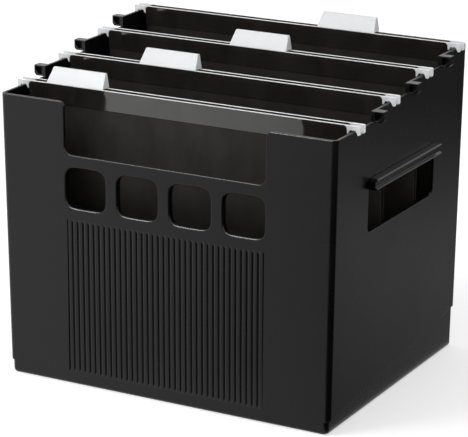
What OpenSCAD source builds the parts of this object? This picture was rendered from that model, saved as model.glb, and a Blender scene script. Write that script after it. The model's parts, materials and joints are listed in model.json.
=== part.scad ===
// Portable file box with a stepped rim, and the four hanging folders that it carries.
// X runs to the right, Y to the back and Z up. The origin is under the middle of the box.
// Inside the modules Y is measured from the foot of the front wall, and place() centres it.

/* [Box] */
// Outside width at the foot of the walls
base_w = 306; // [280:1:340]
// Outside depth at the foot of the walls
base_d = 248; // [242:0.5:290]
// Height of the lowest step of the rim
front_h = 247.3; // [240:0.1:290]
// Outward lean of the side walls in degrees
side_draft = 0.75; // [0.4:0.05:1.2]
// Outward lean of the front and rear walls in degrees
end_draft = 0.35; // [0.3:0.05:1.2]
// Thickness of the walls
wall = 2.4; // [1.8:0.1:3]
// Thickness of the floor
floor_t = 2.6; // [1.8:0.1:4]
// Radius of the upright corners
corner_r = 4.5; // [4:0.5:10]
// Radius where the walls turn under to the floor
foot_r = 3; // [1.5:0.5:4]

/* [Stacking foot] */
// Height of the drawn-in foot of the side walls at the front
foot_front_h = 11.5; // [8:0.5:14]
// Height of the drawn-in foot of the side walls at the rear
foot_rear_h = 38; // [30:0.5:40]
// How far the foot is drawn in
foot_inset = 1.7; // [0.8:0.1:2.6]

/* [Stepped rim] */
// Rise of each step
step_rise = 9.3; // [7:0.1:12]
// Distance from the foot of the front wall to the first riser
first_riser = 64.4; // [62:0.1:66]
// Distance from one riser to the next
riser_pitch = 64.6; // [60:0.2:65]
// How far a lug stands out from the side wall
lug_out = 9; // [6:0.5:11]
// Length of a lug along the wall
lug_len = 8; // [7:0.5:13]
// Wall of the hollow lug
lug_wall = 1.3; // [1:0.1:2]
// Depth of the hollow in the face of a lug
lug_hollow = 6; // [2:0.5:6]
// Cut of the lug's lower outer corner
lug_cut = 2; // [1:0.5:5]

/* [Front wall] */
// Width of the notch
notch_w = 188; // [150:1:220]
// Height of the notch's lower edge
notch_z = 202.4; // [197:0.2:215]
// Radius of the notch's lower corners
notch_r = 7; // [3:0.5:12]
// Radius of the top corners beside the notch
post_r = 5; // [2:0.5:10]
// Number of windows
window_count = 4; // [2:1:4]
// Width of a window
window_w = 38; // [28:1:44]
// Height of a window
window_h = 35.2; // [28:0.1:42]
// Distance from one window to the next
window_pitch = 49.6; // [48:0.1:54]
// Height of the windows' centres
window_z = 174.2; // [172:0.1:175]
// Squareness of the windows
window_power = 5; // [3:0.5:8]
// Wall of the collar behind each window
collar_t = 1.5; // [1:0.1:2]
// Depth of the collar behind the wall
collar_d = 2; // [1:0.1:4]
// Number of ribs
rib_count = 36; // [20:1:40]
// Distance from one rib to the next
rib_pitch = 5.16; // [4:0.02:5.4]
// Depth of the grooves between the ribs
rib_depth = 0.8; // [0.4:0.1:1.1]
// How far the ribs' crests lie behind the face of the wall
rib_set = 0.1; // [0.05:0.05:0.3]
// Height of the lower end of the ribs
rib_z0 = 11; // [8:0.5:20]
// Height of the upper end of the ribs
rib_z1 = 147; // [120:1:149]
// Length over which a groove fades out
rib_fade = 3; // [1:0.5:8]

/* [Handles] */
// Distance from the foot of the front wall to the middle of the handles
handle_y = 124.5; // [120:0.5:135]
// Length of the handle openings
handle_w = 128; // [90:1:140]
// Height of the lower edge of the handle openings
handle_z0 = 155.5; // [145:0.5:165]
// Height of the upper edge of the handle openings
handle_z1 = 194; // [185:0.5:205]
// Radius of the lower corners of the handle openings
handle_r = 5; // [2:0.5:8]
// How far the grip stands out from the wall
grip_out = 7.3; // [5:0.1:12]
// Height of the grip's outer bar
grip_h = 9.5; // [8:0.5:14]
// Thickness of the grip's flanges
grip_t = 1.6; // [1.2:0.1:2]
// Depth of the groove along the grip's outer face
grip_groove = 1.8; // [0.5:0.1:3]
// Radius of the grip's corners
grip_r = 1.5; // [0.5:0.1:2]
// Gap between the grip and the edge that it clips over
grip_gap = 0.2; // [0.1:0.05:0.4]

/* [Folders] */
// Thickness of the folders' board
sheet_t = 0.5; // [0.3:0.1:0.8]
// Gap between a folder's edge and the inside of the side walls at the crease
sheet_gap = 2; // [0.5:0.1:2.5]
// Drop from the middle of the hanger bars to the crease
sheet_drop = 231; // [200:1:231]
// Height of the hem that is folded round the bar
hem_h = 17; // [14:1:25]
// Radius of a folder's top corners
sheet_r = 3; // [2:0.5:8]
// Gap between the two halves of a folder at the crease
crease_gap = 0.3; // [0.2:0.05:0.6]

/* [Hangers] */
// Distance between the two bars of a folder
bar_pitch = 8; // [7.5:0.1:9]
// Thickness of a bar
bar_t = 1.4; // [1:0.1:1.8]
// Height of a bar
bar_h = 5; // [4:0.1:6]
// Clearance of a bar inside its hem
bar_gap = 0.25; // [0.25:0.05:0.4]
// Height of the bar's top above the hem
bar_proud = 0.2; // [0.1:0.1:0.6]
// Thickness of the hook ends
hook_t = 2.4; // [1.8:0.1:3]
// Gap between the rim and the arch of a hook
hook_gap = 0.9; // [0.7:0.05:1]
// Height of the hook over the rim
hook_h = 3.7; // [3:0.1:6]
// Gap between the end of a folder's board and the hooks
hook_side_gap = 0.3; // [0.25:0.05:0.6]
// How far a hook stands out from the side wall
hook_out = 4.4; // [4.2:0.1:8]
// Width of a hook's inner leg at its tip
inner_tip_w = 1.3; // [1:0.1:1.8]
// Reach of a hook's inner leg below the rim
inner_reach = 2.2; // [1:0.1:4]
// Width of a hook's outer leg at its tip
outer_tip_w = 2.8; // [2:0.1:3]
// Reach of a hook's outer leg below the rim
outer_reach = 2.9; // [2:0.1:6]

/* [Tabs] */
// Place of the first folder's tab, left of the middle
tab_first = 104; // [90:1:110]
// Sideways step from one folder's tab to the next
tab_pitch = 52; // [40:1:60]
// Width of a tab at its foot
tab_w = 55; // [40:1:60]
// Drawing in of each end of a tab towards its top
tab_slant = 2; // [0:0.5:5]
// Height of a tab
tab_h = 11.9; // [9:0.1:16]
// Backward lean of a tab's face, from its foot to its top
tab_lean = 8.5; // [6:0.5:10]
// Depth of a tab at its foot
tab_d = 11; // [10:0.5:14]
// Wall of a tab
tab_t = 0.7; // [0.5:0.1:1]
// Thickness of the label card
label_t = 0.3; // [0.2:0.05:0.4]
// Gap round the label card
label_gap = 0.1; // [0.05:0.05:0.2]
// Length of the tongue behind the hem
tongue_h = 12.5; // [11:0.5:14]
// Width of a slot in the board behind the hem
slot_w = 6.5; // [4:0.5:10]
// Height of a slot in the board behind the hem
slot_h = 1.6; // [1.2:0.1:2]
// Distance between a tab's two slots
slot_pitch = 32; // [20:1:40]
// Gap between the tab and what holds it
tab_gap = 0.2; // [0.1:0.05:0.3]

/* [Hidden] */
$fn = 32;

// Number of steps in the rim, one for each folder
folders = 4;
// Room that the cutting shapes reach past what they cut
past = 20;
// Segments in a quarter of a corner
corner_steps = 8;
rear_h = front_h + (folders - 1) * step_rise;
mid_y = (front_y(front_h) + rear_y(rear_h)) / 2;
span = base_w + 2 * past + 2 * lug_out;
depth = base_d + 2 * past;
inner_foot_r = 1;
lug_h = step_rise;
hem_y = bar_t / 2 + bar_gap + sheet_t;
pocket_d = bar_h - bar_proud + bar_gap;
hem_taper = 3;
bar_mid = hook_gap + hook_h - bar_h / 2;
leaf_offset = crease_gap / 2 + sheet_t / 2;
leaf_lean = atan((bar_pitch / 2 - leaf_offset) / sheet_drop);
leaf_l = sheet_drop / cos(leaf_lean) + bar_h / 2 - bar_proud;
lowest_crease = front_h + bar_mid - sheet_drop;
sheet_w = 2 * (half_x(lowest_crease) - wall - sheet_gap);
rail_in = half_x(front_h) - wall;
hook_in = sheet_w / 2 + hook_side_gap;
hook_end = rail_in + wall + hook_out;

// Half of the outside width at height z
function half_x(z) = base_w / 2 + z * tan(side_draft);
// Front and rear faces at height z
function front_y(z) = -z * tan(end_draft);
function rear_y(z) = base_d + z * tan(end_draft);
// Height of step k of the rim, counted from 0 at the front
function step_z(k) = front_h + k * step_rise;
// Place of riser k
function riser_y(k) = first_riser + k * riser_pitch;
// Middle of folder k
function folder_y(k) = first_riser + lug_len / 2 + (k - 0.5) * riser_pitch;
// Upper edge of the drawn-in foot at y
function foot_z(y) = foot_front_h + (foot_rear_h - foot_front_h) * y / base_d;
// Points of an arc about a centre, from angle a0 to angle a1
function arc(cx, cy, r, a0, a1, n = corner_steps) = [
    for (i = [0:n]) let (a = a0 + (a1 - a0) * i / n) [cx + r * cos(a), cy + r * sin(a)]
];
// Drawing in of a rounded foot of radius r at height z above its lowest point
function turn_in(z, r) = z >= r ? 0 : r - sqrt(r * r - (r - max(z, 0)) * (r - max(z, 0)));
// Outline of the box at height z, drawn in all round and further at the sides
function outline(z, all_in, side_in, r) = let (
    hx = half_x(z) - all_in - side_in - r,
    y0 = front_y(z) + all_in + r,
    y1 = rear_y(z) - all_in - r
) [
    for (p = concat(
        arc(hx, y0, r, -90, 0), arc(hx, y1, r, 0, 90),
        arc(-hx, y1, r, 90, 180), arc(-hx, y0, r, 180, 270)
    )) [p[0], p[1], z]
];
// Rounded rectangle from [x0, y0] to [x1, y1]
function rounded(x0, y0, x1, y1, r) = concat(
    arc(x1 - r, y0 + r, r, -90, 0), arc(x1 - r, y1 - r, r, 0, 90),
    arc(x0 + r, y1 - r, r, 90, 180), arc(x0 + r, y0 + r, r, 180, 270)
);
// Window outline, a square with bowed sides and round corners
function window_outline(w, h, n = 40) = [
    for (i = [0:n - 1]) let (a = 360 * i / n, c = cos(a), s = sin(a)) [
        w / 2 * sign(c) * pow(abs(c), 2 / window_power),
        h / 2 * sign(s) * pow(abs(s), 2 / window_power)
    ]
];

// Moves a shape from the front wall's foot to the middle of the box
module place() {
    translate([0, -mid_y, 0]) children();
}
// Extrudes an outline in Y and Z across the whole width
module across() {
    translate([-span / 2, 0, 0]) rotate([90, 0, 90]) linear_extrude(span) children();
}
// Extrudes an outline in X and Z from y0 to y1
module along(y0, y1) {
    translate([0, y1, 0]) rotate([90, 0, 0]) linear_extrude(y1 - y0) children();
}
// Skins a stack of outlines that have the same number of points
module loft(rings) {
    n = len(rings[0]);
    m = len(rings);
    polyhedron(
        points = [for (ring = rings) for (p = ring) p],
        faces = concat(
            [[for (j = [0:n - 1]) j]],
            [[for (j = [n - 1:-1:0]) (m - 1) * n + j]],
            [
                for (i = [0:m - 2]) for (j = [0:n - 1]) for (half = [0, 1]) let (
                    a = i * n + j,
                    b = i * n + (j + 1) % n,
                    c = a + n,
                    d = b + n
                ) half == 0 ? [a, c, d] : [a, d, b]
            ]
        )
    );
}
// Outside of the box, with the side walls drawn in by side_in
module outer_form(side_in) {
    heights = [-1, 0, 0.08 * foot_r, 0.3 * foot_r, 0.6 * foot_r, foot_r, rear_h + 1];
    loft([
        for (z = heights) let (r_in = turn_in(z, foot_r))
            outline(z, r_in, side_in, corner_r - r_in / 2)
    ]);
}
// Inside of the box, with the side walls drawn in by side_in
module inner_form(side_in) {
    heights = [0, 0.3 * inner_foot_r, inner_foot_r, rear_h + past];
    loft([
        for (h = heights) let (r_in = turn_in(h, inner_foot_r))
            outline(floor_t + h, wall + r_in, side_in, corner_r - wall)
    ]);
}
// Space under the sloping upper edge of the drawn-in foot
module under_foot_line(lift) {
    across() polygon([
        [-past, -past], [depth - past, -past],
        [depth - past, foot_z(depth - past) + lift], [-past, foot_z(-past) + lift]
    ]);
}
// Space above the steps of the rim
module above_rim() {
    across() polygon(concat(
        [[-past, front_h]],
        [for (k = [0:folders - 2]) for (s = [0, 1]) [riser_y(k), step_z(k + s)]],
        [[depth, rear_h], [depth, rear_h + 2 * past], [-past, rear_h + 2 * past]]
    ));
}
// Lugs that stand out at the risers of the right side wall
module right_lugs() {
    for (k = [0:folders - 2])
        translate([half_x(step_z(k)), 0, step_z(k)]) difference() {
            along(riser_y(k), riser_y(k) + lug_len) lug_outline(0);
            along(riser_y(k) - 1, riser_y(k) + lug_hollow) lug_outline(lug_wall);
        }
}
// Face of a lug, drawn in by t, with a wider cut at its hollow
module lug_outline(t) {
    inner = t == 0 ? -wall / 2 : t;
    cut = lug_cut + t;
    polygon([
        [inner, t], [lug_out - t - cut, t], [lug_out - t, t + cut],
        [lug_out - t, lug_h - t], [inner, lug_h - t]
    ]);
}
// Notch between the front posts
module notch() {
    x = notch_w / 2;
    right = concat(
        arc(x - notch_r, notch_z + notch_r, notch_r, -90, 0),
        arc(x + post_r, front_h - post_r, post_r, 180, 90),
        [[x + post_r, front_h + past]]
    );
    left = [for (i = [len(right) - 1:-1:0]) [-right[i][0], right[i][1]]];
    along(-past / 2, past / 2) polygon(concat(right, left));
}
// Places a shape at each window
module at_windows() {
    for (i = [0:window_count - 1])
        translate([(i - (window_count - 1) / 2) * window_pitch, 0, window_z]) children();
}
// Grooves between the ribs
module rib_grooves() {
    w = rib_count * rib_pitch;
    steps = 6;
    crests = [
        for (i = [0:rib_count - 1]) for (j = [0:steps - 1]) let (t = j / steps)
            [-w / 2 + (i + t) * rib_pitch, rib_set + (rib_depth - rib_set) * pow(abs(2 * t - 1), 3)]
    ];
    // Length that the cutting shape reaches out in front of the wall
    reach = 3;
    slope = rib_fade / rib_depth;
    rotate([end_draft, 0, 0]) intersection() {
        translate([0, 0, rib_z0 - past / 4]) linear_extrude(rib_z1 - rib_z0 + past / 2)
            polygon(concat(crests, [[w / 2, rib_depth], [w / 2, -reach], [-w / 2, -reach]]));
        across() polygon([
            [-reach, rib_z0 - reach * slope], [2 * rib_depth, rib_z0 + 2 * rib_fade],
            [2 * rib_depth, rib_z1 - 2 * rib_fade], [-reach, rib_z1 + reach * slope]
        ]);
    }
}
// Openings under the grips, through both side walls
module handle_openings() {
    y0 = handle_y - handle_w / 2;
    y1 = handle_y + handle_w / 2;
    across() polygon(concat(
        arc(y1 - handle_r, handle_z0 + handle_r, handle_r, -90, 0),
        [[y1, handle_z1], [y0, handle_z1]],
        arc(y0 + handle_r, handle_z0 + handle_r, handle_r, 180, 270)
    ));
}

// The box, one moulding
module box_body() {
    color([0.16, 0.16, 0.17]) place() difference() {
        union() {
            difference() {
                outer_form(0);
                under_foot_line(0);
            }
            outer_form(foot_inset);
            right_lugs();
            mirror([1, 0, 0]) right_lugs();
        }
        difference() {
            union() {
                difference() {
                    inner_form(0);
                    under_foot_line(wall);
                }
                inner_form(foot_inset);
            }
            at_windows() along(-past, wall + collar_d)
                polygon(window_outline(window_w + 2 * collar_t, window_h + 2 * collar_t));
        }
        above_rim();
        notch();
        at_windows() along(-past, past) polygon(window_outline(window_w, window_h));
        rib_grooves();
        handle_openings();
        translate([-span / 2, -past, -past]) cube([span, depth, past]);
    }
}

// Section of a grip in X and Z, with x = 0 on the wall's outer face and z = 0 at the opening's top
module grip_section() {
    low = -grip_gap - grip_t;
    inner = -wall - grip_gap;
    groove_z0 = low + grip_t;
    groove_z1 = low + grip_h - grip_t;
    polygon(concat(
        [[inner - grip_t, low]],
        arc(grip_out - grip_r, low + grip_r, grip_r, -90, 0),
        [
            [grip_out, groove_z0], [grip_out - grip_groove, groove_z0 + grip_groove / 2],
            [grip_out - grip_groove, groove_z1 - grip_groove / 2], [grip_out, groove_z1]
        ],
        arc(grip_out - grip_r, low + grip_h - grip_r, grip_r, 0, 90),
        [
            [grip_gap, low + grip_h], [grip_gap, -grip_gap], [inner, -grip_gap],
            [inner, low + grip_h - grip_r], [inner - grip_t, low + grip_h - 2 * grip_r]
        ]
    ));
}
// Grip that clips over the upper edge of the right handle opening
module grip() {
    y0 = handle_y - handle_w / 2 + grip_gap;
    y1 = handle_y + handle_w / 2 - grip_gap;
    end_r = 2 * grip_r;
    place() intersection() {
        translate([half_x(handle_z1), 0, handle_z1]) rotate([0, side_draft, 0]) along(y0, y1) grip_section();
        across() polygon(rounded(
            y0, handle_z1 - past, y1, handle_z1 - grip_gap - grip_t + grip_h + 0.1, end_r
        ));
    }
}
module right_grip() {
    color([0.05, 0.05, 0.06]) grip();
}
module left_grip() {
    color([0.05, 0.05, 0.06]) mirror([1, 0, 0]) grip();
}

// Section of a leaf in Y and Z, hanging from its bar at the top down to z = 0 at the crease
module leaf_section() {
    a = sheet_t / 2;
    pocket_z = leaf_l - pocket_d;
    glue_z = pocket_z - hem_taper;
    in_y = hem_y - sheet_t;
    polygon([
        [a, 0], [a, glue_z], [hem_y, pocket_z], [hem_y, leaf_l],
        [in_y, leaf_l], [in_y, pocket_z], [-in_y, pocket_z], [-in_y, leaf_l],
        [-hem_y, leaf_l], [-hem_y, pocket_z], [-a - sheet_t, glue_z],
        [-a - sheet_t, leaf_l - hem_h], [-a, leaf_l - hem_h], [-a, 0]
    ]);
}
// One half of a folder before it leans, with its face towards the front
module leaf() {
    intersection() {
        across() leaf_section();
        along(-past, past) polygon(concat(
            [[-sheet_w / 2, -1], [sheet_w / 2, -1]],
            arc(sheet_w / 2 - sheet_r, leaf_l - sheet_r, sheet_r, 0, 90),
            arc(-sheet_w / 2 + sheet_r, leaf_l - sheet_r, sheet_r, 90, 180)
        ));
    }
}
// Places a front leaf of folder k on its crease
module at_crease(k) {
    translate([0, folder_y(k) - leaf_offset, step_z(k) + bar_mid - sheet_drop])
        rotate([leaf_lean, 0, 0]) children();
}
// Height along a leaf of the slots that hold the tab
function slot_z() = leaf_l - pocket_d - hem_taper - slot_h - 0.5;
module front_leaf(k) {
    color([0.2, 0.19, 0.18]) place() difference() {
        at_crease(k) leaf();
        at_crease(k) for (s = [-1, 1])
            translate([tab_x(k) + s * slot_pitch / 2 - slot_w / 2, -sheet_t / 2, slot_z()])
                cube([slot_w, sheet_t * 4, slot_h]);
    }
}
module rear_leaf(k) {
    color([0.2, 0.19, 0.18]) place()
        translate([0, 2 * folder_y(k), 0]) mirror([0, 1, 0]) at_crease(k) leaf();
}

// Right end of a hanger in X and Z, with z = 0 on the rim
module hook_outline() {
    top = hook_gap + hook_h;
    arch_in = rail_in - wall;
    arch_out = rail_in + wall + 0.5;
    ease = 0.35;
    tip_r = outer_tip_w / 2;
    inner_r = 0.5;
    round = 0.8;
    polygon(concat(
        [[hook_in, top]],
        arc(hook_in + inner_r, inner_r - inner_reach, inner_r, 180, 270, 4),
        arc(hook_in + inner_tip_w - inner_r, inner_r - inner_reach, inner_r, 270, 360, 4),
        [
            [arch_in, hook_gap - ease], [arch_in + 2 * ease, hook_gap],
            [arch_out - 2 * ease, hook_gap], [arch_out, hook_gap - ease]
        ],
        arc(hook_end - tip_r, tip_r - outer_reach, tip_r, 180, 360, 8),
        arc(hook_end - round, top - round, round, 0, 90, 4)
    ));
}
// One hanger, a bar with a hook at each end, centred on y = 0
module hanger() {
    top = hook_gap + hook_h;
    union() {
        translate([-hook_in - 0.5, -bar_t / 2, top - bar_h]) cube([2 * hook_in + 1, bar_t, bar_h]);
        for (s = [0, 1]) mirror([s, 0, 0]) along(-hook_t / 2, hook_t / 2) hook_outline();
    }
}
module front_hanger(k) {
    color([0.93, 0.94, 0.95]) place()
        translate([0, folder_y(k) - bar_pitch / 2, step_z(k)]) hanger();
}
module rear_hanger(k) {
    color([0.93, 0.94, 0.95]) place()
        translate([0, folder_y(k) + bar_pitch / 2, step_z(k)]) hanger();
}

// Middle of folder k's tab
function tab_x(k) = -tab_first + k * tab_pitch;
// Section of a tab in Y and Z drawn in by t, with z = 0 at the foot of its leaning face
module tab_section(t) {
    run = tab_lean / tab_h * t;
    polygon([
        [-bar_t / 2 + 1.3 * t + run, t], [-bar_t / 2 + tab_lean + 1.3 * t - run, tab_h - t],
        [tab_d - bar_t / 2 - t, tab_h - t], [tab_d - bar_t / 2 - t, t],
    ]);
}
// Front outline of a tab in X and Z drawn in by t
module tab_face(t) {
    x0 = tab_w / 2 - t;
    x1 = tab_w / 2 - tab_slant - t;
    polygon([[-x0, t - 0.01], [x0, t - 0.01], [x1, tab_h - t + 0.01], [-x1, tab_h - t + 0.01]]);
}
module tab_form(t) {
    intersection() {
        translate([-tab_w / 2, 0, 0]) rotate([90, 0, 90]) linear_extrude(tab_w) tab_section(t);
        along(-past, past) tab_face(t);
    }
}
// Places a tab of folder k with its foot just over the bar
module at_tab(k) {
    translate([tab_x(k), folder_y(k) - bar_pitch / 2, step_z(k) + hook_gap + hook_h + tab_gap]) children();
}
module tab(k) {
    tongue_y = hem_y + tab_gap;
    teeth = 8;
    tooth = tab_w / (2 * teeth - 1);
    color([0.9, 0.93, 0.95, 0.5]) place() difference() {
        union() {
            at_tab(k) difference() {
                tab_form(0);
                tab_form(tab_t);
                translate([-tab_w / 2 + tab_t + tab_slant, tongue_y + tab_t, -1])
                    cube([tab_w - 2 * tab_t - 2 * tab_slant, tab_d - tongue_y - 2 * tab_t - bar_t / 2, 2]);
            }
            at_tab(k) translate([-tab_w / 2 + tab_slant, tongue_y, -tongue_h])
                cube([tab_w - 2 * tab_slant, tab_t, tongue_h + tab_t / 2]);
            at_crease(k) for (s = [-1, 1])
                translate([
                    tab_x(k) + s * slot_pitch / 2 - slot_w / 2 + tab_gap,
                    tab_gap - sheet_t / 2, slot_z() + tab_gap
                ]) cube([slot_w - 2 * tab_gap, tongue_y + tab_t / 2, slot_h - 2 * tab_gap]);
        }
        at_tab(k) for (i = [0:teeth - 2])
            translate([-tab_w / 2 + (2 * i + 1) * tooth, bar_t / 2, -1])
                cube([tooth, tongue_y - bar_t / 2 - tab_gap, 1 + tab_t + 1]);
    }
}
// Label card that stands behind the leaning face of folder k's tab
module label(k) {
    back = tab_t + label_gap;
    run = tab_lean / tab_h;
    y0 = -bar_t / 2 + 1.3 * back + run * back;
    z1 = tab_h - back - label_t;
    rise = z1 - back;
    color([0.97, 0.97, 0.96]) place() at_tab(k) intersection() {
        translate([-tab_w / 2, 0, 0]) rotate([90, 0, 90]) linear_extrude(tab_w) polygon([
            [y0, back], [y0 + run * rise, z1],
            [y0 + run * rise + 1.3 * label_t, z1], [y0 + 1.3 * label_t, back]
        ]);
        along(-past, past) tab_face(back);
    }
}

box_body();
left_grip();
right_grip();
front_leaf(0);  // folder_1_front_leaf
rear_leaf(0);  // folder_1_rear_leaf
front_hanger(0);  // folder_1_front_hanger
rear_hanger(0);  // folder_1_rear_hanger
tab(0);  // folder_1_tab
label(0);  // folder_1_label
front_leaf(1);  // folder_2_front_leaf
rear_leaf(1);  // folder_2_rear_leaf
front_hanger(1);  // folder_2_front_hanger
rear_hanger(1);  // folder_2_rear_hanger
tab(1);  // folder_2_tab
label(1);  // folder_2_label
front_leaf(2);  // folder_3_front_leaf
rear_leaf(2);  // folder_3_rear_leaf
front_hanger(2);  // folder_3_front_hanger
rear_hanger(2);  // folder_3_rear_hanger
tab(2);  // folder_3_tab
label(2);  // folder_3_label
front_leaf(3);  // folder_4_front_leaf
rear_leaf(3);  // folder_4_rear_leaf
front_hanger(3);  // folder_4_front_hanger
rear_hanger(3);  // folder_4_rear_hanger
tab(3);  // folder_4_tab
label(3);  // folder_4_label
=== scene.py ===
# %% [markdown]
# # A portable file box with its hanging folders
# This script dresses a CAD model in Blender. The CAD gives every piece its size and place. Here the
# pieces get their softened edges, their small details, their finishes and the light of a studio.

# %% The frame
import json
import math

import bpy
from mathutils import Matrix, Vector

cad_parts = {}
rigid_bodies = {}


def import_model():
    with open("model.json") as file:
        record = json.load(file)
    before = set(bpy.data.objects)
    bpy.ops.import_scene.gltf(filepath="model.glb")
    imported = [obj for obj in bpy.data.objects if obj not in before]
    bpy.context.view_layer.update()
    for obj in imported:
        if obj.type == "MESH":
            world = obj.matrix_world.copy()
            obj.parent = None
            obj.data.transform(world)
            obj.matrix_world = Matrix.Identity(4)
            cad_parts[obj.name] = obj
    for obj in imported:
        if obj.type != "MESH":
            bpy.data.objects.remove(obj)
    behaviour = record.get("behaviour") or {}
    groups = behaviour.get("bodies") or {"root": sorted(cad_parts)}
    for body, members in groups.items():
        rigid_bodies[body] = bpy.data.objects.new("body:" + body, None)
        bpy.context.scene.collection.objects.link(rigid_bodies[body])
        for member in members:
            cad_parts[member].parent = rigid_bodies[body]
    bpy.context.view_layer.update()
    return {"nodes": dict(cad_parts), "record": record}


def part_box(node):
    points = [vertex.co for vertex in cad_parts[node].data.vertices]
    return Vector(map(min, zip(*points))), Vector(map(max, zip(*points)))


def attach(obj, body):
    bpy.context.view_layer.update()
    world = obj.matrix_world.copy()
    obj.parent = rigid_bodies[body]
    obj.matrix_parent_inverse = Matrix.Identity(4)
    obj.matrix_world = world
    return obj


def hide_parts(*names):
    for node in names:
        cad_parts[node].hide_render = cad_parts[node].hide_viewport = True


MM = 0.001
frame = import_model()
bpy.ops.object.select_all(action="DESELECT")

# %% [markdown]
# ## The camera
# The photograph was taken from a little above and from the right, with a long lens that keeps the
# walls nearly parallel. The camera is added where that view comes from, turned to the middle of the
# box, and rolled by a third of a degree about its own axis, because the photograph is not quite level.

# %% The camera
def facing(place, target):
    """The turn that points a camera or a lamp from its place to a target."""
    return (target - place).to_track_quat("-Z", "Y").to_euler()


camera_at = Vector((948.45, -1751.83, 740.38)) * MM
looks_at = Vector((4.58, -12.28, 131.56)) * MM
roll = math.radians(0.304)
bpy.ops.object.camera_add(location=camera_at, rotation=facing(camera_at, looks_at))
camera = bpy.context.object
camera.name = "studio_camera"
bpy.ops.transform.rotate(
    value=-roll, orient_axis="Z", orient_type="LOCAL", center_override=camera_at)
camera.data.lens = 186.0
camera.data.sensor_width = 36.0
camera.data.clip_end = 50.0
bpy.context.scene.camera = camera
print("The camera stands", round((looks_at - camera_at).length, 3), "m from the box.")

# %% [markdown]
# ## Helpers for materials
# A material is a small graph of nodes. These helpers add a node and join two sockets, so that each
# finish below reads as a short list. Every pattern is laid on the piece's own coordinates, in metres,
# so it stays at its real scale and moves with the piece.

# %% Helpers for materials
def new_finish(name, colour, roughness, specular=0.5):
    """A material with one shader. Returns the material, its node tree and the shader."""
    finish = bpy.data.materials.new(name)
    finish.use_nodes = True
    shader = finish.node_tree.nodes["Principled BSDF"]
    shader.inputs["Base Color"].default_value = (*colour, 1)
    shader.inputs["Roughness"].default_value = roughness
    shader.inputs["Specular IOR Level"].default_value = specular
    return finish, finish.node_tree, shader


def add_node(tree, kind, **sockets):
    """Adds a node and sets its sockets. A socket's name has _ for each space."""
    made = tree.nodes.new(kind)
    for socket, value in sockets.items():
        made.inputs[socket.replace("_", " ")].default_value = value
    return made


def stretched_point(tree, x=1.0, y=1.0, z=1.0):
    """The place on the piece, scaled along each axis."""
    where = tree.nodes.new("ShaderNodeTexCoord")
    scaled = tree.nodes.new("ShaderNodeMapping")
    scaled.inputs["Scale"].default_value = (x, y, z)
    tree.links.new(where.outputs["Object"], scaled.inputs["Vector"])
    return scaled.outputs["Vector"]


# %% [markdown]
# Noise is the base of every pattern here. Most of its values lie between 0.3 and 0.7, so that span is
# stretched to whatever range a finish needs. A bump turns a pattern into small heights, in metres, and
# one bump can be laid over another.

# %% Noise and bump
noise_span = (0.3, 0.7)


def cloud(tree, point, scale, detail=3.0, roughness=0.6):
    """Soft noise with about scale patches to the metre."""
    noise = add_node(tree, "ShaderNodeTexNoise", Scale=scale, Detail=detail, Roughness=roughness)
    tree.links.new(point, noise.inputs["Vector"])
    return noise.outputs["Fac"]


def remap(tree, value, span, to_span):
    """Stretches one span of values to another, and holds what lies past its ends."""
    made = add_node(tree, "ShaderNodeMapRange", From_Min=span[0], From_Max=span[1],
                    To_Min=to_span[0], To_Max=to_span[1])
    tree.links.new(value, made.inputs["Value"])
    return made.outputs["Result"]


def raise_grain(tree, shader, height, strength, distance, before=None):
    """Lays a bump of this height on the shader, over the bump before it if there is one."""
    bump = add_node(tree, "ShaderNodeBump", Strength=strength, Distance=distance)
    tree.links.new(height, bump.inputs["Height"])
    if before is not None:
        tree.links.new(before, bump.inputs["Normal"])
    tree.links.new(bump.outputs["Normal"], shader.inputs["Normal"])
    return bump.outputs["Normal"]


# %% [markdown]
# ## Black plastic for the box
# The box is one moulding in black polypropylene. Its colour is nearly black, so what the eye sees is
# the room's reflection, spread by a fine even grain. The grain is a very shallow bump of small noise.
# A second, wider noise changes the roughness a little, as handling does, and thin stretched noise
# gives faint scuffs. An image could do the same, but noise has no seams and no fixed size.

# %% Black plastic for the box
box_black, tree, shader = new_finish("box_black_plastic", (0.0012, 0.0012, 0.0014), 0.27, 0.41)
point = stretched_point(tree)
wear = cloud(tree, point, scale=14, detail=4)
tree.links.new(remap(tree, wear, noise_span, (0.24, 0.31)), shader.inputs["Roughness"])
grain = cloud(tree, point, scale=2200, detail=2)
even = raise_grain(tree, shader, grain, strength=0.12, distance=0.05 * MM)
scuffs = cloud(tree, stretched_point(tree, 90, 90, 700), scale=1.0, detail=5)
thin_scuffs = remap(tree, scuffs, (0.62, 0.75), (0, 1))
raise_grain(tree, shader, thin_scuffs, strength=0.05, distance=0.04 * MM, before=even)
print("Box plastic:", len(tree.nodes), "nodes.")

# %% [markdown]
# The walls of the grooves between the ribs get a plastic of their own, rough and with hardly any shine.
# This is painted shade: it stands in for the shade that falls into the narrow grooves. Otherwise the
# walls would mirror the white room and the ribs would not stand out.

# %% Painted shade in the grooves
groove_shade_plastic, tree, shader = new_finish("painted_groove_shade_plastic", (0.0055, 0.0055, 0.006), 0.6, 0.03)
grain = cloud(tree, stretched_point(tree), scale=1800, detail=3)
raise_grain(tree, shader, grain, strength=0.3, distance=0.08 * MM)
print("Groove plastic:", len(tree.nodes), "nodes.")

# %% [markdown]
# ## Black plastic for the grips
# The strips that edge the handle openings are glossier than the box, so they show sharper light
# lines. They have almost no grain, only the slow waviness of a thin moulding.

# %% Black plastic for the grips
grip_black, tree, shader = new_finish("grip_black_plastic", (0.002, 0.002, 0.0022), 0.2, 0.4)
point = stretched_point(tree)
wear = cloud(tree, point, scale=60)
tree.links.new(remap(tree, wear, noise_span, (0.16, 0.26)), shader.inputs["Roughness"])
waviness = cloud(tree, point, scale=260, detail=2)
raise_grain(tree, shader, waviness, strength=0.08, distance=0.1 * MM)
print("Grip plastic:", len(tree.nodes), "nodes.")

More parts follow.
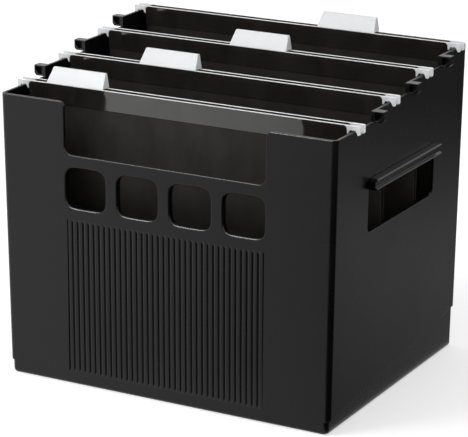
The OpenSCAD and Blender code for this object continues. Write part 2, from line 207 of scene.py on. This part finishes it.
# %% [markdown]
# ## Folder board
# The folders are black board with a dull face. The fibre shows as soft, slightly stretched mottling
# in colour, and as a fine tooth in the bump. Where the board is folded over its hanger and glued, it
# is pressed smooth and glossy, so the hem mirrors the front of the box. That is a second finish with
# a low roughness and a high index of refraction, made by the same function.

# %% Folder board
darkest = (0.015, 0.0142, 0.0125, 1)
lightest = (0.028, 0.0262, 0.0235, 1)


def board(name, roughness, specular, ior, tooth):
    """Black board whose colour and roughness follow one mottled pattern."""
    finish, tree, shader = new_finish(name, (0.014, 0.013, 0.0115), roughness, specular)
    shader.inputs["IOR"].default_value = ior
    mottle = cloud(tree, stretched_point(tree, 1, 1, 0.45), scale=55, detail=5)
    mix = tree.nodes.new("ShaderNodeMix")
    mix.data_type = "RGBA"
    factor, first, second = (mix.inputs[number] for number in (0, 6, 7))
    first.default_value = darkest
    second.default_value = lightest
    tree.links.new(remap(tree, mottle, noise_span, (0, 1)), factor)
    tree.links.new(mix.outputs[2], shader.inputs["Base Color"])
    around = (roughness - 0.04, roughness + 0.04)
    tree.links.new(remap(tree, mottle, noise_span, around), shader.inputs["Roughness"])
    fibre = cloud(tree, stretched_point(tree), scale=1500, detail=3)
    raise_grain(tree, shader, fibre, strength=tooth, distance=0.05 * MM)
    return finish


board_black = board("black_board", roughness=0.5, specular=0.2, ior=1.5, tooth=0.25)
hem_black = board("black_hem_film", roughness=0.1, specular=0.5, ior=1.95, tooth=0.0)
print("Board finishes:", board_black.name, "and", hem_black.name)

# %% [markdown]
# ## White hanger plastic, clear tab plastic and label card
# The hangers are glossy white plastic with a slight bluish cast. The tabs are clear plastic that
# looks frosted with the white card behind it, so a tab lets some light through and scatters the rest.
# The card is plain paper with a fine tooth.

# %% White hanger plastic, clear tab plastic and label card
hanger_white, tree, shader = new_finish("white_hanger_plastic", (0.9, 0.91, 0.92), 0.28, 0.5)
wear = cloud(tree, stretched_point(tree), scale=120)
tree.links.new(remap(tree, wear, noise_span, (0.22, 0.34)), shader.inputs["Roughness"])
grain = cloud(tree, stretched_point(tree), scale=900, detail=2)
raise_grain(tree, shader, grain, strength=0.05, distance=0.05 * MM)

tab_clear, tree, shader = new_finish("clear_tab_plastic", (0.93, 0.945, 0.95), 0.45, 0.3)
shader.inputs["Transmission Weight"].default_value = 0.3
shader.inputs["IOR"].default_value = 1.45
grain = cloud(tree, stretched_point(tree), scale=700, detail=3)
raise_grain(tree, shader, grain, strength=0.12, distance=0.06 * MM)

label_white, tree, shader = new_finish("plain_card", (0.9, 0.9, 0.89), 0.75, 0.3)
tooth = cloud(tree, stretched_point(tree), scale=1800, detail=4)
raise_grain(tree, shader, tooth, strength=0.2, distance=0.05 * MM)
print("Finishes:", ", ".join(finish.name for finish in bpy.data.materials))

# %% [markdown]
# ## Edges that catch the light
# No moulded edge is truly sharp. The small rounding along it shows as a thin bright line, and that
# line tells the eye where one face ends. A bevel modifier can round edges by their angle alone, but
# it would also round the ribs' narrow grooves, so each edge gets a bevel weight of its own: 1 where it
# turns by more than a set angle, and 0 where it is left sharp.

# %% Edges that catch the light
def select_sharp_edges(angle):
    """Selects the edges of the active mesh that turn by more than an angle in degrees."""
    bpy.ops.object.mode_set(mode="EDIT")
    bpy.ops.mesh.select_mode(type="EDGE")
    bpy.ops.mesh.select_all(action="DESELECT")
    bpy.ops.mesh.edges_select_sharp(sharpness=math.radians(angle))
    bpy.ops.object.mode_set(mode="OBJECT")


def edge_ends(mesh, edge):
    return [mesh.vertices[i].co for i in edge.vertices]


def weigh_sharp_edges(mesh, angle, stays_sharp):
    """Gives a bevel weight to each sharp edge, but not to those that stay sharp."""
    select_sharp_edges(angle)
    weights = mesh.attributes.new("bevel_weight_edge", "FLOAT", "EDGE")
    for edge in mesh.edges:
        left_out = stays_sharp is not None and all(map(stays_sharp, edge_ends(mesh, edge)))
        weights.data[edge.index].value = 1.0 if edge.select and not left_out else 0.0


# %% [markdown]
# ## Softened pieces
# A CAD piece is made of loose triangles. So each one is copied, and in the copy the triangles are
# merged and the flat faces are joined again before the bevel. The shading is smooth across small
# angles, and weighted normals keep the large faces flat. The copy then stands for the CAD piece, and
# moves with the same body.

# %% Copying a piece
def joined_copy(node, name):
    """Copies a CAD piece, and joins its triangles to whole faces."""
    bpy.ops.object.select_all(action="DESELECT")
    source = frame["nodes"][node]
    source.select_set(True)
    bpy.context.view_layer.objects.active = source
    bpy.ops.object.duplicate()
    piece = bpy.context.object
    piece.name = name
    for key in list(piece.keys()):
        del piece[key]
    bpy.ops.object.parent_clear(type="CLEAR_KEEP_TRANSFORM")
    bpy.ops.object.mode_set(mode="EDIT")
    bpy.ops.mesh.select_all(action="SELECT")
    bpy.ops.mesh.remove_doubles(threshold=0.005 * MM)
    bpy.ops.mesh.dissolve_limited(angle_limit=math.radians(0.4))
    bpy.ops.object.mode_set(mode="OBJECT")
    return piece


# %% Softening a piece
body_of = {node: body for body, nodes in frame["record"]["behaviour"]["bodies"].items()
           for node in nodes}
flattening = 70


def softened(node, name, width, angle, finish, segments=2, prepare=None, stays_sharp=None,
             crease=46):
    """Makes the finished piece that stands for a CAD node, with rounded edges of this width."""
    piece = joined_copy(node, name)
    if prepare:
        prepare(piece)
    weigh_sharp_edges(piece.data, angle, stays_sharp)
    rounding = piece.modifiers.new("rounding", "BEVEL")
    rounding.width = width
    rounding.segments = segments
    rounding.limit_method = "WEIGHT"
    rounding.use_clamp_overlap = False
    bpy.ops.object.modifier_apply(modifier=rounding.name)
    bpy.ops.object.shade_smooth_by_angle(angle=math.radians(crease))
    levelling = piece.modifiers.new("levelling", "WEIGHTED_NORMAL")
    levelling.weight = flattening
    levelling.keep_sharp = True
    bpy.ops.object.modifier_apply(modifier=levelling.name)
    piece.data.materials.clear()
    piece.data.materials.append(finish)
    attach(piece, body_of[node])
    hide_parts(node)
    return piece


# %% [markdown]
# ## The front of the box
# The front wall leans out by a third of a degree, and everything on it is found by its depth behind
# that leaning face. The panel below the windows has grooves that leave ribs between them. They could
# be drawn in a bump, but a bump gives no shadow and no outline, so their floors are moved back in the
# mesh instead. The rib's own edges move back a little too, because a mould never fills them sharply.

# %% The grooves between the ribs
front_foot = 124.085 * MM
front_lean = math.tan(math.radians(0.35))
rib_half_width = 93.2 * MM
rib_low, rib_high = 9 * MM, 149.5 * MM
rib_near, rib_far = 0.05 * MM, 2.4 * MM
# What lies deeper than the first number moves back by the second. The deepest comes first.
groove_moves = ((0.7 * MM, 0.9 * MM), (0.25 * MM, 0.15 * MM), (0.0, 0.05 * MM))


def behind_front(point):
    """Depth of a point behind the leaning front face."""
    return point.y + front_foot + point.z * front_lean


def in_ribs(point):
    inside_panel = abs(point.x) < rib_half_width and rib_low < point.z < rib_high
    return inside_panel and rib_near < behind_front(point) < rib_far


def deepen_grooves(mesh):
    for corner in mesh.vertices:
        if in_ribs(corner.co):
            depth = behind_front(corner.co)
            corner.co.y += next(move for beyond, move in groove_moves if depth > beyond)


# %% [markdown]
# The windows, the notch and the rim of the front are rounded more than the other edges, and show the
# broadest light lines in the photograph. They are bevelled first, by the bevel tool of edit mode, with
# more segments. The faces' select flags are cleared before it, because a selected face would bring
# its other edges along.

# %% The windows, the notch and the rim
window_half_width = 95 * MM
window_low, window_high = 155 * MM, 193.5 * MM
notch_low = 195 * MM
on_the_face = 0.1 * MM


def on_window(ends):
    return all(abs(end.x) < window_half_width and window_low < end.z < window_high
               for end in ends)


def on_rim(ends):
    return min(end.z for end in ends) > notch_low


def round_front(mesh, name, belongs, width, segments):
    """Rounds the sharp edges of the front face that belong to the part that is named."""
    select_sharp_edges(60)
    for face in mesh.polygons:
        face.select = False
    for edge in mesh.edges:
        ends = edge_ends(mesh, edge)
        outside = all(abs(behind_front(end)) < on_the_face for end in ends)
        edge.select = edge.select and outside and belongs(ends)
    print("Rounding", sum(edge.select for edge in mesh.edges), "edges of the", name)
    bpy.ops.object.mode_set(mode="EDIT")
    bpy.ops.mesh.bevel(offset=width, segments=segments, affect="EDGES", clamp_overlap=False)
    bpy.ops.object.mode_set(mode="OBJECT")


def shape_front(piece):
    deepen_grooves(piece.data)
    round_front(piece.data, "windows", on_window, width=1.7 * MM, segments=4)
    round_front(piece.data, "rim and notch", on_rim, width=1.0 * MM, segments=3)


# %% [markdown]
# ## The box
# One moulding: a stepped rim with lugs, a notch, four windows, a ribbed panel, two handle openings and
# the stacking foot. Its walls are 2.4 mm thick, so a rounding of 0.35 mm leaves a flat between two soft
# edges. The CAD has the whole shape, so nothing of it is built again here.

# %% The box
shell = softened("box_body", "box_shell", 0.35 * MM, 28, box_black, segments=3,
                 prepare=shape_front, stays_sharp=in_ribs, crease=35)
# The sideways walls of the grooves take the dull plastic: painted shade in the narrow recesses.
shell.data.materials.append(groove_shade_plastic)
turned_sideways = 0.45
for face in shell.data.polygons:
    if in_ribs(face.center) and abs(face.normal.x) > turned_sideways:
        face.material_index = 1
print("The box has", len(shell.data.polygons), "faces.")

# %% [markdown]
# ## The grips
# Each grip is a grooved strip that clips over the upper edge of a handle opening, and saves the hand
# from the thin wall. It is a piece of its own with its own gloss, so it is softened by itself.

# %% The grips
for side in ("left", "right"):
    softened(f"{side}_grip", f"{side}_grip_strip", 0.35 * MM, 28, grip_black)
print("The grips are in place.")

# %% [markdown]
# ## The folders
# A folder is two leaves of board that meet at the crease. The upper 17 mm of a leaf is folded over its
# hanger and glued down, and those faces take the glossy film. The hangers are white bars with hooked
# ends, and the clear tab with its card stands on the front leaf. Thin pieces get narrow roundings.

# %% The folders
hem = 17.5 * MM
for k in range(1, 5):
    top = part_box(f"folder_{k}_front_leaf")[1].z
    folder = f"folder_{k}"
    for side in ("front", "rear"):
        leaf = softened(f"{folder}_{side}_leaf", f"{folder}_{side}_board", 0.12 * MM, 40,
                        board_black, segments=1)
        leaf.data.materials.append(hem_black)
        for face in leaf.data.polygons:
            if face.center.z > top - hem:
                face.material_index = 1
        softened(f"{folder}_{side}_hanger", f"{folder}_{side}_rail", 0.25 * MM, 28,
                 hanger_white)
    softened(f"{folder}_tab", f"{folder}_clear_tab", 0.18 * MM, 28,
             tab_clear, segments=1)
    softened(f"{folder}_label", f"{folder}_card", 0.08 * MM, 28,
             label_white, segments=1)
    print("Folder", k, "hangs from", round(top / MM, 1), "mm.")

# %% [markdown]
# ## The studio
# The floor is white, and it adds a little light of its own to what the camera and the reflections
# see, so that it reads as a white page and still keeps the shadow. The surround is white to the eye,
# and lights the dull surfaces a little less.

# %% What the camera and the reflections see
def sees_background(tree):
    """1 for a ray of the camera, a reflection or clear plastic, and 0 for other light."""
    path = tree.nodes.new("ShaderNodeLightPath")
    total = path.outputs["Is Camera Ray"]
    for name in ("Is Glossy Ray", "Is Transmission Ray"):
        add = tree.nodes.new("ShaderNodeMath")
        add.operation = "ADD"
        add.use_clamp = True
        tree.links.new(total, add.inputs[0])
        tree.links.new(path.outputs[name], add.inputs[1])
        total = add.outputs[0]
    return total


# %% The floor and the surround
white = (1, 1, 1, 1)
bpy.ops.mesh.primitive_plane_add(size=14, location=(0, 2, 0))
floor = bpy.context.object
floor.name = "studio_floor"
floor_white, tree, shader = new_finish("floor_white", (0.86, 0.86, 0.86), 1.0, 0.0)
shader.inputs["Emission Color"].default_value = white
own_light = remap(tree, sees_background(tree), (0, 1), (0, 0.45))
tree.links.new(own_light, shader.inputs["Emission Strength"])
floor.data.materials.append(floor_white)

world = bpy.data.worlds.new("studio_surround")
bpy.context.scene.world = world
world.use_nodes = True
tree = world.node_tree
background = tree.nodes["Background"]
background.inputs["Color"].default_value = white
strength = remap(tree, sees_background(tree), (0, 1), (0.66, 1.0))
tree.links.new(strength, background.inputs["Strength"])
print("The floor and the surround are in place.")

# %% [markdown]
# ## The lamps
# One square lamp hangs above at the front left and gives the walls their main light. A long thin lamp
# hangs in front of the rim. Rounded edges mirror a wide part of the room, so each one picks up this
# strip as a bright line, while the flat faces look past it. It gives no light to dull surfaces.

# %% The lamps
def hang_lamp(name, place, target, energy):
    bpy.ops.object.light_add(type="AREA", location=place)
    lamp = bpy.context.object
    lamp.name = name
    lamp.data.energy = energy
    lamp.rotation_euler = facing(lamp.location, Vector(target))
    return lamp


lamp = hang_lamp("soft_lamp", (-0.9, -1.1, 1.9), target=(0, 0, 0.12), energy=16)
lamp.data.size = 0.8
strip = hang_lamp("edge_strip", (-0.75, -1.35, 1.6), target=(0, -0.1, 0.2), energy=50)
strip.data.shape = "RECTANGLE"
strip.data.size = 1.6
strip.data.size_y = 0.35
strip.visible_diffuse = False
print("Lamps:", lamp.name, "and", strip.name)

# %% [markdown]
# ## The card of painted reflection
# A photographer lays shaded card beside a glossy black object, so that its faces don't all mirror the
# same white. Here one sheet lies just over the floor and glows, and it is made for reflections alone:
# the camera, the lamps and the shadows don't see it. What the box's faces mirror of it is painted
# reflection.

# %% The card of painted reflection
bpy.ops.mesh.primitive_plane_add(size=1, location=(0, 0, 0))
card = bpy.context.object
card.name = "painted_reflection_card"
card.scale = (5.2, 6.4, 1)
card.location = (0.1, 0.3, 0.2 * MM)
bpy.ops.object.transform_apply(location=True, rotation=False, scale=True)
for kind in ("camera", "diffuse", "shadow", "transmission", "volume_scatter"):
    setattr(card, f"visible_{kind}", False)
print("The card is", tuple(round(side, 2) for side in card.dimensions[:2]), "m.")

# %% [markdown]
# The card's light is a sum worked out from the place on it, and it paints the reflections in the box's
# faces. It is white at the left, grows darker across the front, is darkest round the front right
# corner, where the camera stands, and lights up again beside the right wall, most at the middle of its
# length.

# %% The card's material
shade = bpy.data.materials.new("painted_reflection_glow")
shade.use_nodes = True
tree = shade.node_tree
tree.nodes.clear()
where = tree.nodes.new("ShaderNodeTexCoord")
split = tree.nodes.new("ShaderNodeSeparateXYZ")
tree.links.new(where.outputs["Object"], split.inputs[0])
x, y = split.outputs["X"], split.outputs["Y"]


def combine(operation, first, second):
    """One step of the sum: two values, each a number or a socket."""
    made = tree.nodes.new("ShaderNodeMath")
    made.operation = operation
    for number, value in enumerate((first, second)):
        if isinstance(value, float):
            made.inputs[number].default_value = value
        else:
            tree.links.new(value, made.inputs[number])
    return made.outputs[0]


# %% The light in front of the box
front_wall, right_wall = 0.125, 0.155
view_slant = 0.543
above_zero = 0.002
behind = combine("ADD", y, front_wall)
beside = combine("SUBTRACT", x, right_wall)
across_front = combine("SUBTRACT", x, combine("MULTIPLY", behind, view_slant))
front_fade = remap(tree, across_front, (-0.25, 0.35), (0.95, 0.45))
before = combine("MAXIMUM", combine("MULTIPLY", behind, -1.0), above_zero)
from_corner = remap(tree, combine("DIVIDE", beside, before), (-0.5, 0.05), (1.0, 0.0))
front_light = combine("MULTIPLY", front_fade, from_corner)

# %% The light beside the right wall
aside = combine("MAXIMUM", beside, above_zero)
round_corner = remap(tree, combine("DIVIDE", behind, aside), (0.8, 1.5), (0.0, 1.0))
near = remap(tree, y, (-0.1, 0.45), (0.45, 1.0))
far = remap(tree, y, (0.3, 0.85), (0.36, 0.06))
side_light = combine("MULTIPLY", combine("MULTIPLY", round_corner, near), far)

# %% The whole light of the card
left_light = 0.8
is_front = combine("LESS_THAN", behind, 0.0)
not_front = combine("SUBTRACT", 1.0, is_front)
is_left = combine("MULTIPLY", combine("LESS_THAN", beside, 0.0), not_front)
is_right = combine("SUBTRACT", 1.0, combine("ADD", is_front, is_left))
in_front = combine("MULTIPLY", is_front, front_light)
at_the_right = combine("MULTIPLY", is_right, side_light)
at_the_left = combine("MULTIPLY", is_left, left_light)
light = combine("ADD", combine("ADD", in_front, at_the_right), at_the_left)
# The card glows with this light though it is no lamp: a painted reflection.
glow = tree.nodes.new("ShaderNodeEmission")
tree.links.new(light, glow.inputs["Strength"])
output = tree.nodes.new("ShaderNodeOutputMaterial")
tree.links.new(glow.outputs[0], output.inputs[0])
card.data.materials.append(shade)
print("The card's light takes", len(tree.nodes), "nodes.")

# %% [markdown]
# ## The end
# The plain Standard view keeps the white of the page white.

# %% The end
bpy.context.scene.view_settings.view_transform = "Standard"
